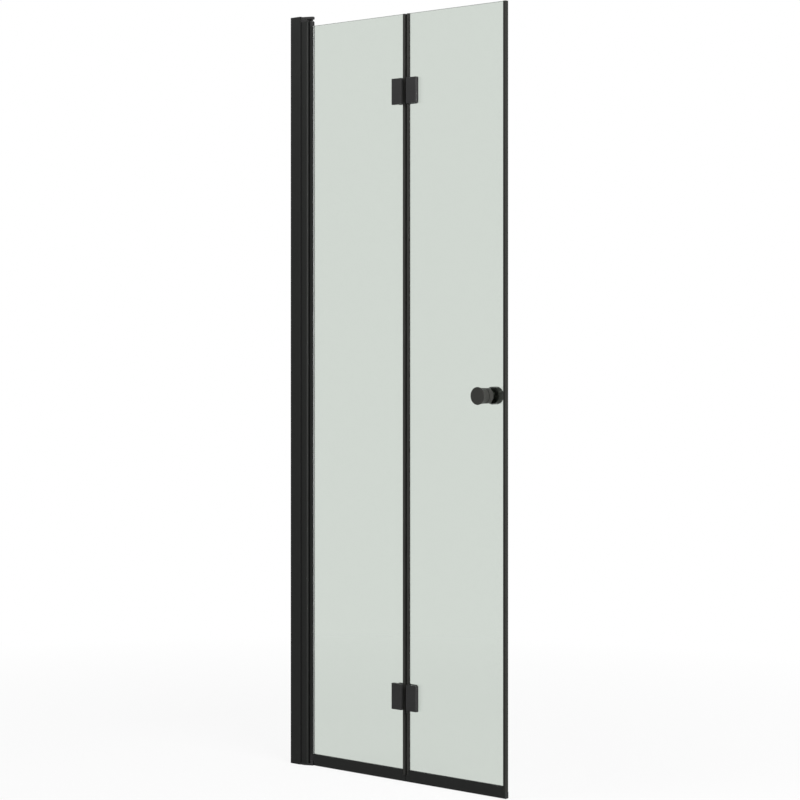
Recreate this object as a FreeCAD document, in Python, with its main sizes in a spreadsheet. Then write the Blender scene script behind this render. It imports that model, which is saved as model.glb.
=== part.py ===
"""Folding shower door: wall channel, pivoting wall leaf and folding door leaf.

X runs from the wall along the door, Y from the photographed side to the far side, Z up.
The wall face is X = 0, the middle of the glass is Y = 0 and the tray is Z = 0.  All sizes are mm.
"""

import FreeCAD, Part
import math
import os

import Sketcher
from FreeCAD import Placement, Rotation, Vector

# Sizes, in mm

SIZES = {
    # whole door
    "door_width": 700,
    "door_height": 1900,
    # glass panes
    "glass_thick": 6,
    "glass_bottom": 17,
    "glass_top_drop": 25.5,
    "glass_arris": 0.5,
    "glass_hole_radius": 7,
    "pane_clearance": 0.1,
    # wall channel and its cap
    "channel_depth": 34,
    "channel_width": 30,
    "channel_wall": 1.8,
    "channel_corner": 0.8,
    "cap_thick": 3,
    "cap_prong_length": 8,
    "cap_prong_depth": 7,
    "cap_prong_width": 6,
    "wall_hole_radius": 2.5,
    "wall_hole_inset": 150,
    # adjusting profile
    "slide_clearance": 0.3,
    "profile_start": 12,
    "profile_end": 55.7,
    "profile_bottom": 5,
    "profile_top_drop": 14,
    "profile_wall": 1.8,
    "chamber_end": 44,
    "nose_corner": 5.5,
    "groove_clearance": 0.7,
    "port_radius": 1.75,
    "port_from_end": 8,
    "port_from_middle": 6.5,
    # screws that lock the adjusting profile
    "lock_screw_from_wall": 24,
    "lock_screw_inset": 250,
    "lock_shank_radius": 1.9,
    "lock_hole_radius": 2,
    "lock_shank_length": 9,
    "lock_head_radius": 3.6,
    "lock_head_height": 2,
    "lock_cap_radius": 5.5,
    "lock_cap_height": 3.2,
    # pivots of the wall leaf
    "pivot_from_wall": 61.5,
    "pivot_pin_radius": 3,
    "pivot_pin_head_radius": 4.5,
    "pivot_pin_head_height": 1.5,
    "pin_hole_radius": 3.05,
    "bush_bore_radius": 3.05,
    "bush_radius": 4,
    "bush_seat_radius": 4.05,
    "bush_depth": 9,
    "bush_flange_radius": 5.5,
    "bush_flange_height": 1,
    "arm_start": 16,
    "arm_shoulder": 46,
    "arm_body_end": 51,
    "arm_plate_drop": 8,
    "arm_top_drop": 1.5,
    "arm_nose_radius": 6.5,
    "arm_top_round": 2,
    "bracket_plate_top": 5,
    "bracket_boss_top": 11,
    "end_screw_radius": 1.65,
    "end_screw_hole_radius": 1.9,
    "end_screw_length": 16,
    "end_screw_head_radius": 3.1,
    "end_screw_head_height": 2.2,
    "end_screw_sink_radius": 3.4,
    "washer_radius": 5.6,
    "washer_bore_radius": 3.15,
    "washer_thick": 1,
    "block_bottom": 13.1,
    "block_rail_top": 30,
    "block_top_drop": 14.5,
    "block_top_round": 0.6,
    "block_tongue_end": 75,
    "block_plug_length": 26,
    # pivot profile on the wall leaf
    "bead_radius": 6.2,
    "bead_bore_radius": 4.4,
    "bead_plug_radius": 4.3,
    "bead_slot_start": 66.6,
    "bead_front_lip_end": 69.6,
    "bead_rear_lip_end": 67.9,
    "bead_lip_half": 5.2,
    "bead_slot_half": 4,
    "gasket_reach": 0.6,
    # fold between the leaves
    "fold_offset": 4.25,
    "fold_axis_back": 10,
    "strip_gap": 6.6,
    "strip_web": 1.1,
    "strip_leg_thick": 1.15,
    "strip_front_leg": 6.7,
    "strip_wall_rear_leg": 2.5,
    "strip_door_rear_leg": 5,
    "strip_fin_reach": 6,
    "strip_fin_front": 1.2,
    "strip_fin_rear": 2.4,
    # bottom rails and their seals
    "rail_bottom": 1.5,
    "rail_top": 29.6,
    "rail_half": 5.8,
    "rail_corner": 0.8,
    "rail_gap": 1.6,
    "rail_notch_clearance": 0.4,
    "rail_chamber_half": 4.4,
    "rail_chamber_bottom": 8.4,
    "rail_chamber_top": 15,
    "rail_mouth_half": 1.5,
    "rail_mouth_top": 3.2,
    "rail_groove_half": 3,
    "rail_groove_top": 6.6,
    "seal_clearance": 0.1,
    "seal_foot_half": 2.6,
    "seal_bottom": 0.3,
    "seal_foot_top": 1.3,
    "seal_lip_half": 0.6,
    "end_cap_thick": 2,
    "end_cap_plug": 8,
    "end_cap_clearance": 0.15,
    # closing edge
    "closing_strip_width": 7.1,
    "closing_strip_half": 5.4,
    "closing_strip_round": 1,
    "closing_slot_depth": 3.2,
    "closing_slot_half": 3.05,
    "magnet_start": 4.2,
    "magnet_thick": 2,
    "magnet_half": 3.2,
    "magnet_clearance": 0.1,
    # fold hinges
    "hinge_inset_top": 188.8,
    "hinge_inset_foot": 190,
    "hinge_height": 63.4,
    "hinge_slot": 15.6,
    "hinge_plate_width": 33.2,
    "hinge_plate_thick": 9,
    "hinge_outer_round": 4,
    "hinge_edge_round": 0.8,
    "hinge_gasket_thick": 1.5,
    "hinge_gasket_inset": 1.2,
    "hinge_gasket_start": 10.5,
    "hinge_screw_pitch": 36,
    "hinge_screw_from_fold": 19.5,
    "rear_plate_thick": 4.8,
    "rear_plate_start": 10.6,
    "rear_plate_end": 28,
    "rear_gasket_inset": 0.6,
    "knuckle_radius": 4.9,
    "knuckle_bore_radius": 2.55,
    "knuckle_web_bottom": 5.4,
    "knuckle_relief": 5.4,
    "knuckle_middle": 23,
    "knuckle_gap": 1.1,
    "hinge_pin_radius": 2.5,
    "hinge_pin_head_radius": 4,
    "hinge_pin_head_height": 1.5,
    "knuckle_bush_radius": 3.4,
    "knuckle_bush_seat": 3.45,
    "knuckle_bush_flange_radius": 4.7,
    "knuckle_bush_flange_height": 1,
    "knuckle_bush_length": 8,
    "hinge_shank_radius": 2.5,
    "hinge_shank_hole": 2.7,
    "hinge_thread_hole": 2.6,
    "hinge_thread_depth": 6.5,
    "hinge_shank_end": 10.2,
    "hinge_head_radius": 4.5,
    "hinge_head_height": 2.4,
    "hinge_head_sink_radius": 4.7,
    "hinge_head_sink": 2.6,
    "hinge_socket_radius": 1.7,
    "hinge_socket_depth": 1.4,
    "sleeve_radius": 6.9,
    "sleeve_bore": 2.8,
    "sleeve_length": 5.8,
    # knobs
    "knob_from_edge": 50,
    "knob_height": 946.5,
    "knob_face_radius": 21.1,
    "knob_face_round": 1,
    "knob_waist_radius": 18.6,
    "knob_collar_radius": 18.4,
    "knob_groove_radius": 15.5,
    "knob_neck_radius": 10,
    "knob_front_length": 44.7,
    "knob_neck_end": 6.7,
    "knob_groove_start": 20.4,
    "knob_groove_end": 22.4,
    "knob_thread_radius": 4.1,
    "knob_thread_depth": 13,
    "knob_rear_length": 23,
    "knob_rear_neck": 3.7,
    "knob_rear_neck_radius": 10,
    "knob_washer_radius": 9.8,
    "knob_washer_thick": 1,
    "knob_washer_bore": 7.2,
    "knob_stud_radius": 4,
    "knob_stud_reach": 15,
    "knob_sleeve_bore": 4.2,
}

WALL_HOLE_COUNT = 4
LOCK_SCREW_COUNT = 3
SHEET = "Sizes"

doc = FreeCAD.newDocument("shower_door")
sheet = doc.addObject("Spreadsheet::Sheet", SHEET)
for row, (alias, number) in enumerate(SIZES.items(), start=1):
    sheet.set(f"A{row}", alias)
    sheet.set(f"B{row}", str(number))
    sheet.setAlias(f"B{row}", alias)
doc.recompute()


# Sizes that carry their sheet formula along

class Size:
    """A number together with the sheet formula that gives it."""

    def __init__(self, text, value):
        self.text = text
        self.value = value

    def __add__(self, other):
        other = as_size(other)
        return Size(f"({self.text} + {other.text})", self.value + other.value)

    def __sub__(self, other):
        other = as_size(other)
        return Size(f"({self.text} - {other.text})", self.value - other.value)

    def __mul__(self, other):
        other = as_size(other)
        return Size(f"({self.text} * {other.text})", self.value * other.value)

    def __truediv__(self, other):
        other = as_size(other)
        return Size(f"({self.text} / {other.text})", self.value / other.value)

    def __neg__(self):
        return Size(f"(0 - {self.text})", -self.value)

    def root(self):
        return Size(f"sqrt({self.text})", math.sqrt(self.value))


def as_size(item):
    if isinstance(item, Size):
        return item
    return Size(f"({item})", float(item))


class Sheet:
    """The sheet's cells as Size attributes."""

    def __init__(self, sizes):
        for alias, number in sizes.items():
            setattr(self, alias, Size(f"{SHEET}.{alias}", float(number)))


s = Sheet(SIZES)
ZERO = as_size(0)


class Arc:
    """A corner that is reached by an arc about a centre, turning left (+1) or right (-1)."""

    def __init__(self, x, y, centre_x, centre_y, turn):
        self.corner = (as_size(x), as_size(y))
        self.centre = (as_size(centre_x), as_size(centre_y))
        self.turn = turn


# Sketch and feature helpers

def bind(item, prop, size):
    item.setExpression(prop, as_size(size).text)


def new_body(label):
    body = doc.addObject("PartDesign::Body", label)
    body.Label = label
    return body


def new_sketch(body, role, offset):
    """A sketch on one of the body's own planes, moved along the plane's normal."""
    sketch = body.newObject("Sketcher::SketchObject", body.Label + "_sketch")
    plane = next(item for item in body.Origin.OriginFeatures if item.Role == role)
    sketch.AttachmentSupport = (plane, [""])
    sketch.MapMode = "FlatFace"
    offset = as_size(offset)
    sketch.AttachmentOffset = Placement(Vector(0, 0, offset.value), Rotation())
    bind(sketch, "AttachmentOffset.Base.z", offset)
    return sketch


def fix(sketch, kind, geometry, point, size):
    """Ties one coordinate of a point to a sheet formula, measured from the sketch's origin."""
    size = as_size(size)
    index = sketch.addConstraint(Sketcher.Constraint(kind, -1, 1, geometry, point, size.value))
    bind(sketch, f"Constraints[{index}]", size)


def draw_loop(sketch, path):
    """A closed outline.  Each item is a corner (x, y), or an Arc that ends at its corner."""
    corners = []
    for item in path:
        x, y = item.corner if isinstance(item, Arc) else item
        corners.append((as_size(x), as_size(y)))
    points = [Vector(x.value, y.value, 0) for x, y in corners]
    first = sketch.GeometryCount
    ends = []
    for index, item in enumerate(path):
        start, end = points[index - 1], points[index]
        if isinstance(item, Arc):
            sketch.addGeometry(arc_between(start, end, item), False)
            ends.append((1, 2) if item.turn > 0 else (2, 1))
        else:
            sketch.addGeometry(Part.LineSegment(start, end), False)
            ends.append((1, 2))
    count = len(path)
    for index in range(count):
        after = (index + 1) % count
        sketch.addConstraint(
            Sketcher.Constraint("Coincident", first + index, ends[index][1], first + after, ends[after][0])
        )
    for index, (x, y) in enumerate(corners):
        fix(sketch, "DistanceX", first + index, ends[index][1], x)
        fix(sketch, "DistanceY", first + index, ends[index][1], y)
    for index, item in enumerate(path):
        if isinstance(item, Arc):
            chord = points[index] - points[index - 1]
            if abs(chord.y) > abs(chord.x):
                fix(sketch, "DistanceX", first + index, 3, item.centre[0])
            else:
                fix(sketch, "DistanceY", first + index, 3, item.centre[1])


def arc_between(start, end, item):
    centre = Vector(item.centre[0].value, item.centre[1].value, 0)
    radius = start.distanceToPoint(centre)
    first = math.atan2(start.y - centre.y, start.x - centre.x)
    last = math.atan2(end.y - centre.y, end.x - centre.x)
    sweep = (last - first) * item.turn % (2 * math.pi)
    middle = first + item.turn * sweep / 2
    through = centre + Vector(radius * math.cos(middle), radius * math.sin(middle), 0)
    return Part.Arc(start, through, end)


def draw_box(sketch, left, bottom, right, top):
    draw_loop(sketch, [(left, bottom), (right, bottom), (right, top), (left, top)])


def draw_circle(sketch, x, y, radius):
    x, y, radius = as_size(x), as_size(y), as_size(radius)
    index = sketch.addGeometry(Part.Circle(Vector(x.value, y.value, 0), Vector(0, 0, 1), radius.value), False)
    fix(sketch, "DistanceX", index, 3, x)
    fix(sketch, "DistanceY", index, 3, y)
    number = sketch.addConstraint(Sketcher.Constraint("Radius", index, radius.value))
    bind(sketch, f"Constraints[{number}]", radius)


def add_feature(body, kind, sketch, length, reversed_side=False):
    """A pad or a pocket of the sketch.  Pads follow the sketch's normal, pockets go against it."""
    feature = body.newObject("PartDesign::" + kind, body.Label + "_" + kind.lower())
    feature.Profile = sketch
    feature.Length = as_size(length).value
    bind(feature, "Length", length)
    feature.Reversed = reversed_side
    doc.recompute()
    return feature


def round_edges(body, radius, wanted):
    """A fillet on the edges of the body's tip that the test picks by their bounding box."""
    base = body.Tip
    names = [f"Edge{n}" for n, edge in enumerate(base.Shape.Edges, start=1) if wanted(edge.BoundBox)]
    fillet = body.newObject("PartDesign::Fillet", body.Label + "_round")
    fillet.Base = (base, names)
    fillet.Radius = as_size(radius).value
    bind(fillet, "Radius", radius)
    doc.recompute()
    return fillet


def bevel_edges(body, size, wanted):
    """A small chamfer on the edges that the test picks."""
    base = body.Tip
    names = [f"Edge{n}" for n, edge in enumerate(base.Shape.Edges, start=1) if wanted(edge.BoundBox)]
    chamfer = body.newObject("PartDesign::Chamfer", body.Label + "_bevel")
    chamfer.Base = (base, names)
    chamfer.Size = as_size(size).value
    bind(chamfer, "Size", size)
    doc.recompute()
    return chamfer


def near(a, b):
    return abs(a - as_size(b).value) < 0.01


def place(item, x, y, z, rotation=None):
    """Puts an object at a point that follows the sheet."""
    x, y, z = as_size(x), as_size(y), as_size(z)
    item.Placement = Placement(Vector(x.value, y.value, z.value), rotation or Rotation())
    bind(item, "Placement.Base.x", x)
    bind(item, "Placement.Base.y", y)
    bind(item, "Placement.Base.z", z)


UPWARD = Rotation()
DOWNWARD = Rotation(Vector(1, 0, 0), 180)
TO_FRONT = Rotation(Vector(1, 0, 0), 90)
TO_REAR = Rotation(Vector(1, 0, 0), -90)


def turned(label, point, rotation, profile):
    """A turned piece: the profile of (radius, height) corners spins about its own upright axis."""
    body = new_body(label)
    sketch = new_sketch(body, "XZ_Plane", 0)
    draw_loop(sketch, profile)
    spin = body.newObject("PartDesign::Revolution", label + "_revolution")
    spin.Profile = sketch
    spin.ReferenceAxis = (sketch, ["V_Axis"])
    spin.Angle = 360
    place(body, *point, rotation)
    doc.recompute()
    return body


def group(label, members):
    """Several separate solids that share one node."""
    compound = doc.addObject("Part::Compound", label)
    compound.Label = label
    compound.Links = members
    doc.recompute()
    return compound


def ring_profile(bore, radius, bottom, top):
    return [(bore, bottom), (radius, bottom), (radius, top), (bore, top)]


def bush_profile(bore, radius, depth, flange_radius, flange_height):
    """A flanged bush that hangs below its flange."""
    return [
        (bore, -as_size(depth)),
        (radius, -as_size(depth)),
        (radius, 0),
        (flange_radius, 0),
        (flange_radius, flange_height),
        (bore, flange_height),
    ]


def pin_profile(radius, length, head_radius, head_height):
    """A headed pin or screw that hangs below its head."""
    return [
        (0, -as_size(length)),
        (radius, -as_size(length)),
        (radius, 0),
        (head_radius, 0),
        (head_radius, head_height),
        (0, head_height),
    ]


nodes = []


def node(item):
    nodes.append(item)
    return item


# Derived positions

half_glass = s.glass_thick / 2
channel_half = s.channel_width / 2
channel_top = s.door_height - s.cap_thick
wall_hole_spacing = (channel_top - s.wall_hole_inset * 2) / (WALL_HOLE_COUNT - 1)
lock_screw_spacing = (channel_top - s.lock_screw_inset * 2) / (LOCK_SCREW_COUNT - 1)
glass_top = s.door_height - s.glass_top_drop
profile_top = s.door_height - s.profile_top_drop
arm_plate_bottom = s.door_height - s.arm_plate_drop
arm_plate_top = s.door_height - s.arm_top_drop
block_top = s.door_height - s.block_top_drop
profile_half = channel_half - s.channel_wall - s.slide_clearance
groove_radius = s.bead_radius + s.groove_clearance
pivot_x = s.pivot_from_wall
fold_x = (s.door_width + pivot_x) / 2 + s.fold_offset
knob_x = s.door_width - s.knob_from_edge
port_x = s.profile_end - s.port_from_end
hinge_heights = {
    "upper": glass_top - s.hinge_inset_top,
    "lower": s.glass_bottom + s.hinge_inset_foot,
}
wall_pane_left = s.bead_slot_start + s.pane_clearance
wall_pane_right = fold_x - s.strip_gap / 2 - s.strip_web - s.pane_clearance
door_pane_left = fold_x + s.strip_gap / 2 + s.strip_web + s.pane_clearance
closing_left = s.door_width - s.closing_strip_width
door_pane_right = closing_left + s.closing_slot_depth - s.pane_clearance


# Wall channel

def make_wall_channel():
    body = new_body("wall_channel")
    sketch = new_sketch(body, "XY_Plane", 0)
    inner = channel_half - s.channel_wall
    draw_loop(sketch, [
        (0, -channel_half),
        (s.channel_depth, -channel_half),
        (s.channel_depth, -inner),
        (s.channel_wall, -inner),
        (s.channel_wall, inner),
        (s.channel_depth, inner),
        (s.channel_depth, channel_half),
        (0, channel_half),
    ])
    add_feature(body, "Pad", sketch, channel_top)

    holes = new_sketch(body, "YZ_Plane", s.channel_wall)
    for number in range(WALL_HOLE_COUNT):
        draw_circle(holes, 0, s.wall_hole_inset + wall_hole_spacing * number, s.wall_hole_radius)
    add_feature(body, "Pocket", holes, s.channel_wall)

    screw_holes = new_sketch(body, "XZ_Plane", -inner)
    for number in range(LOCK_SCREW_COUNT):
        height = s.lock_screw_inset + lock_screw_spacing * number
        draw_circle(screw_holes, s.lock_screw_from_wall, height, s.lock_hole_radius)
    add_feature(body, "Pocket", screw_holes, s.channel_wall)

    def outer_corner(box):
        upright = box.ZLength > 100 and box.XLength < 0.01 and box.YLength < 0.01
        return upright and near(box.XMin, s.channel_depth) and near(abs(box.YMin), channel_half)

    round_edges(body, s.channel_corner, outer_corner)
    return body


def make_channel_cap():
    body = new_body("channel_top_cap")
    plate = new_sketch(body, "XY_Plane", channel_top)
    draw_box(plate, 0, -channel_half, s.channel_depth, channel_half)
    add_feature(body, "Pad", plate, s.cap_thick)
    prongs = new_sketch(body, "XY_Plane", channel_top)
    left = s.channel_wall + s.slide_clearance
    side = channel_half - s.channel_wall - s.slide_clearance
    draw_box(prongs, left, -side, left + s.cap_prong_depth, s.cap_prong_width - side)
    draw_box(prongs, left, side - s.cap_prong_width, left + s.cap_prong_depth, side)
    add_feature(body, "Pad", prongs, s.cap_prong_length, True)

    def top_edge(box):
        return near(box.ZMin, s.door_height) and near(box.ZMax, s.door_height) and box.XMax > 0.01

    round_edges(body, s.channel_corner, top_edge)
    return body


node(make_wall_channel())
node(make_channel_cap())


# Adjusting profile with its groove for the pivot bead

def make_adjusting_profile():
    body = new_body("adjusting_profile")
    reach = pivot_x - s.profile_end
    mouth = (groove_radius * groove_radius - reach * reach).root()
    corner_x = s.profile_end - s.nose_corner
    corner_y = profile_half - s.nose_corner
    section = new_sketch(body, "XY_Plane", s.profile_bottom)
    draw_loop(section, [
        (s.profile_start, -profile_half),
        (corner_x, -profile_half),
        Arc(s.profile_end, -corner_y, corner_x, -corner_y, 1),
        (s.profile_end, -mouth),
        Arc(s.profile_end, mouth, pivot_x, 0, -1),
        (s.profile_end, corner_y),
        Arc(corner_x, profile_half, corner_x, corner_y, 1),
        (s.profile_start, profile_half),
    ])
    side = profile_half - s.profile_wall
    draw_box(section, s.profile_start + s.profile_wall, -side, s.chamber_end, side)
    draw_circle(section, port_x, -s.port_from_middle, s.port_radius)
    draw_circle(section, port_x, s.port_from_middle, s.port_radius)
    add_feature(body, "Pad", section, profile_top - s.profile_bottom)

    screw_holes = new_sketch(body, "XZ_Plane", -side)
    for number in range(LOCK_SCREW_COUNT):
        height = s.lock_screw_inset + lock_screw_spacing * number
        draw_circle(screw_holes, s.lock_screw_from_wall, height, s.lock_hole_radius)
    add_feature(body, "Pocket", screw_holes, s.profile_wall)
    return body


node(make_adjusting_profile())

lock_screws = []
lock_caps = []
for number in range(LOCK_SCREW_COUNT):
    height = s.lock_screw_inset + lock_screw_spacing * number
    spot = (s.lock_screw_from_wall, channel_half, height)
    screw = pin_profile(s.lock_shank_radius, s.lock_shank_length, s.lock_head_radius, s.lock_head_height)
    lock_screws.append(turned(f"lock_screw_{number + 1}", spot, TO_REAR, screw))
    inside = s.lock_head_radius + s.slide_clearance
    roof = s.lock_head_height + s.slide_clearance
    shell = [
        (inside, 0),
        (s.lock_cap_radius, 0),
        (s.lock_cap_radius, s.lock_head_height),
        (s.lock_head_radius, s.lock_cap_height),
        (0, s.lock_cap_height),
        (0, roof),
        (inside, roof),
    ]
    lock_caps.append(turned(f"lock_cap_{number + 1}", spot, TO_REAR, shell))
node(group("profile_lock_screws", lock_screws))
node(group("lock_screw_caps", lock_caps))


# Fixed pivots at the ends of the adjusting profile

def nose_outline(start, radius):
    """A plate over the profile's end, with a round nose about the pivot."""
    return [
        (start, -profile_half),
        (s.arm_shoulder, -profile_half),
        (pivot_x, -radius),
        Arc(pivot_x, radius, pivot_x, 0, 1),
        (s.arm_shoulder, profile_half),
        (start, profile_half),
    ]


def make_top_arm():
    body = new_body("top_pivot_arm")
    foot = new_sketch(body, "XY_Plane", profile_top)
    draw_box(foot, s.arm_start, -profile_half, s.arm_body_end, profile_half)
    add_feature(body, "Pad", foot, arm_plate_bottom - profile_top)
    plate = new_sketch(body, "XY_Plane", arm_plate_bottom)
    draw_loop(plate, nose_outline(s.channel_depth + s.slide_clearance, s.arm_nose_radius))
    add_feature(body, "Pad", plate, arm_plate_top - arm_plate_bottom)

    def top_edge(box):
        return near(box.ZMin, arm_plate_top) and box.XMax > s.channel_depth.value + 1

    round_edges(body, s.arm_top_round, top_edge)
    holes = new_sketch(body, "XY_Plane", arm_plate_top)
    sinks = new_sketch(body, "XY_Plane", arm_plate_top)
    for side in (-1, 1):
        draw_circle(holes, port_x, s.port_from_middle * side, s.end_screw_hole_radius)
        draw_circle(sinks, port_x, s.port_from_middle * side, s.end_screw_sink_radius)
    add_feature(body, "Pocket", holes, arm_plate_top - profile_top)
    add_feature(body, "Pocket", sinks, s.end_screw_head_height + s.slide_clearance)

    pin_hole = new_sketch(body, "XY_Plane", arm_plate_top)
    draw_circle(pin_hole, pivot_x, 0, s.pin_hole_radius)
    add_feature(body, "Pocket", pin_hole, arm_plate_top - arm_plate_bottom)
    pin_sink = new_sketch(body, "XY_Plane", arm_plate_top)
    draw_circle(pin_sink, pivot_x, 0, s.pivot_pin_head_radius + s.slide_clearance)
    add_feature(body, "Pocket", pin_sink, s.pivot_pin_head_height)
    return body


def make_bottom_bracket():
    body = new_body("bottom_pivot_bracket")
    plate = new_sketch(body, "XY_Plane", 0)
    draw_loop(plate, nose_outline(s.arm_start, s.bead_radius))
    add_feature(body, "Pad", plate, s.bracket_plate_top)
    boss = new_sketch(body, "XY_Plane", s.bracket_plate_top)
    draw_circle(boss, pivot_x, 0, s.bead_radius)
    add_feature(body, "Pad", boss, s.bracket_boss_top - s.bracket_plate_top)

    holes = new_sketch(body, "XY_Plane", s.bracket_plate_top)
    for side in (-1, 1):
        draw_circle(holes, port_x, s.port_from_middle * side, s.end_screw_hole_radius)
    add_feature(body, "Pocket", holes, s.bracket_plate_top)
    sinks = new_sketch(body, "XY_Plane", s.end_screw_head_height + s.slide_clearance)
    for side in (-1, 1):
        draw_circle(sinks, port_x, s.port_from_middle * side, s.end_screw_sink_radius)
    add_feature(body, "Pocket", sinks, s.end_screw_head_height + s.slide_clearance)

    pin_hole = new_sketch(body, "XY_Plane", s.bracket_boss_top)
    draw_circle(pin_hole, pivot_x, 0, s.pin_hole_radius)
    add_feature(body, "Pocket", pin_hole, s.bracket_boss_top)
    pin_sink = new_sketch(body, "XY_Plane", s.pivot_pin_head_height)
    draw_circle(pin_sink, pivot_x, 0, s.pivot_pin_head_radius + s.slide_clearance)
    add_feature(body, "Pocket", pin_sink, s.pivot_pin_head_height)
    return body


node(make_top_arm())
node(make_bottom_bracket())

end_screw = pin_profile(
    s.end_screw_radius, s.end_screw_length, s.end_screw_head_radius, s.end_screw_head_height
)
top_seat = arm_plate_top - s.end_screw_head_height - s.slide_clearance
bottom_seat = s.end_screw_head_height + s.slide_clearance
top_screws = []
bottom_screws = []
for side, name in ((-1, "front"), (1, "rear")):
    across = s.port_from_middle * side
    top_screws.append(turned(f"top_screw_{name}", (port_x, across, top_seat), UPWARD, end_screw))
    bottom_screws.append(turned(f"bottom_screw_{name}", (port_x, across, bottom_seat), DOWNWARD, end_screw))
node(group("top_arm_screws", top_screws))
node(group("bottom_bracket_screws", bottom_screws))

top_pin_seat = arm_plate_top - s.pivot_pin_head_height
top_pin_length = top_pin_seat - block_top + s.bush_depth
top_pin = pin_profile(s.pivot_pin_radius, top_pin_length, s.pivot_pin_head_radius, s.pivot_pin_head_height)
node(turned("top_pivot_pin", (pivot_x, 0, top_pin_seat), UPWARD, top_pin))

bottom_pin_length = s.block_bottom + s.bush_depth - s.pivot_pin_head_height
bottom_pin = pin_profile(
    s.pivot_pin_radius, bottom_pin_length, s.pivot_pin_head_radius, s.pivot_pin_head_height
)
node(turned("bottom_pivot_pin", (pivot_x, 0, s.pivot_pin_head_height), DOWNWARD, bottom_pin))

washer = ring_profile(s.washer_bore_radius, s.washer_radius, 0, s.washer_thick)
node(turned("bottom_thrust_washer", (pivot_x, 0, s.bracket_boss_top), UPWARD, washer))


# Glass panes, with holes for the hinge sleeves and the knob

def make_pane(label, left, right, side, knob):
    body = new_body(label)
    face = new_sketch(body, "XZ_Plane", -half_glass)
    draw_box(face, left, s.glass_bottom, right, glass_top)
    for middle in hinge_heights.values():
        for step in (-1, 1):
            x = fold_x + s.hinge_screw_from_fold * side
            draw_circle(face, x, middle + s.hinge_screw_pitch * step / 2, s.glass_hole_radius)
    if knob:
        draw_circle(face, knob_x, s.knob_height, s.glass_hole_radius)
    add_feature(body, "Pad", face, s.glass_thick)

    def pane_edge(box):
        return near(abs(box.YMin), half_glass) and near(box.YMin, box.YMax) and box.DiagonalLength > 100

    bevel_edges(body, s.glass_arris, pane_edge)
    return body


node(make_pane("wall_leaf_glass", wall_pane_left, wall_pane_right, -1, False))
node(make_pane("door_leaf_glass", door_pane_left, door_pane_right, 1, True))


# Pivot profile of the wall leaf, its gaskets and pivot ends

lip_half = s.bead_lip_half
bead_meets_lip = pivot_x + (s.bead_radius * s.bead_radius - lip_half * lip_half).root()


def make_pivot_profile():
    body = new_body("pivot_profile")
    section = new_sketch(body, "XY_Plane", s.block_rail_top)
    draw_loop(section, [
        Arc(bead_meets_lip, -lip_half, pivot_x, 0, 1),
        (s.bead_front_lip_end, -lip_half),
        (s.bead_front_lip_end, -s.bead_slot_half),
        (s.bead_slot_start, -s.bead_slot_half),
        (s.bead_slot_start, s.bead_slot_half),
        (s.bead_rear_lip_end, s.bead_slot_half),
        (s.bead_rear_lip_end, lip_half),
        (bead_meets_lip, lip_half),
    ])
    draw_circle(section, pivot_x, 0, s.bead_bore_radius)
    add_feature(body, "Pad", section, glass_top - s.block_rail_top)
    return body


node(make_pivot_profile())

gaskets = []
for side, name, lip_end in ((-1, "front", s.bead_front_lip_end), (1, "rear", s.bead_rear_lip_end)):
    body = new_body(f"pivot_gasket_{name}")
    section = new_sketch(body, "XY_Plane", s.block_rail_top)
    inner = half_glass * side
    outer = (s.bead_slot_half - s.pane_clearance) * side
    draw_loop(section, [
        (s.bead_slot_start + s.pane_clearance, inner),
        (lip_end + s.gasket_reach, inner),
        (lip_end, outer),
        (s.bead_slot_start + s.pane_clearance, outer),
    ])
    add_feature(body, "Pad", section, glass_top - s.block_rail_top)
    gaskets.append(body)
node(group("pivot_gaskets", gaskets))


def block_outline():
    """The bead's round end with a tongue over the corner of the pane."""
    return [
        Arc(bead_meets_lip, -lip_half, pivot_x, 0, 1),
        (s.block_tongue_end, -lip_half),
        (s.block_tongue_end, lip_half),
        (bead_meets_lip, lip_half),
    ]


def make_top_block():
    body = new_body("top_pivot_block")
    block = new_sketch(body, "XY_Plane", glass_top)
    draw_circle(block, pivot_x, 0, s.bead_radius)
    add_feature(body, "Pad", block, block_top - glass_top)

    def top_edge(box):
        return near(box.ZMin, block_top)

    round_edges(body, s.block_top_round, top_edge)
    plug = new_sketch(body, "XY_Plane", glass_top)
    draw_circle(plug, pivot_x, 0, s.bead_plug_radius)
    add_feature(body, "Pad", plug, s.block_plug_length, True)
    bore = new_sketch(body, "XY_Plane", block_top)
    draw_circle(bore, pivot_x, 0, s.bush_seat_radius)
    add_feature(body, "Pocket", bore, s.bush_depth)
    return body


def make_bottom_block():
    body = new_body("bottom_pivot_block")
    block = new_sketch(body, "XY_Plane", s.block_bottom)
    draw_loop(block, block_outline())
    add_feature(body, "Pad", block, s.block_rail_top - s.block_bottom)
    plug = new_sketch(body, "XY_Plane", s.block_rail_top)
    draw_circle(plug, pivot_x, 0, s.bead_plug_radius)
    add_feature(body, "Pad", plug, s.block_plug_length)
    bore = new_sketch(body, "XY_Plane", s.block_bottom + s.bush_depth)
    draw_circle(bore, pivot_x, 0, s.bush_seat_radius)
    add_feature(body, "Pocket", bore, s.bush_depth)
    pane_seat = new_sketch(body, "XZ_Plane", half_glass + s.pane_clearance)
    draw_box(pane_seat, s.bead_slot_start, s.glass_bottom, s.block_tongue_end, s.block_rail_top)
    add_feature(body, "Pocket", pane_seat, s.glass_thick + s.pane_clearance * 2)
    return body


node(make_top_block())
node(make_bottom_block())

pivot_bush = bush_profile(
    s.bush_bore_radius, s.bush_radius, s.bush_depth, s.bush_flange_radius, s.bush_flange_height
)
node(turned("top_pivot_bush", (pivot_x, 0, block_top), UPWARD, pivot_bush))
node(turned("bottom_pivot_bush", (pivot_x, 0, s.block_bottom), DOWNWARD, pivot_bush))


# Fold strips on the panes' meeting edges

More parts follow.
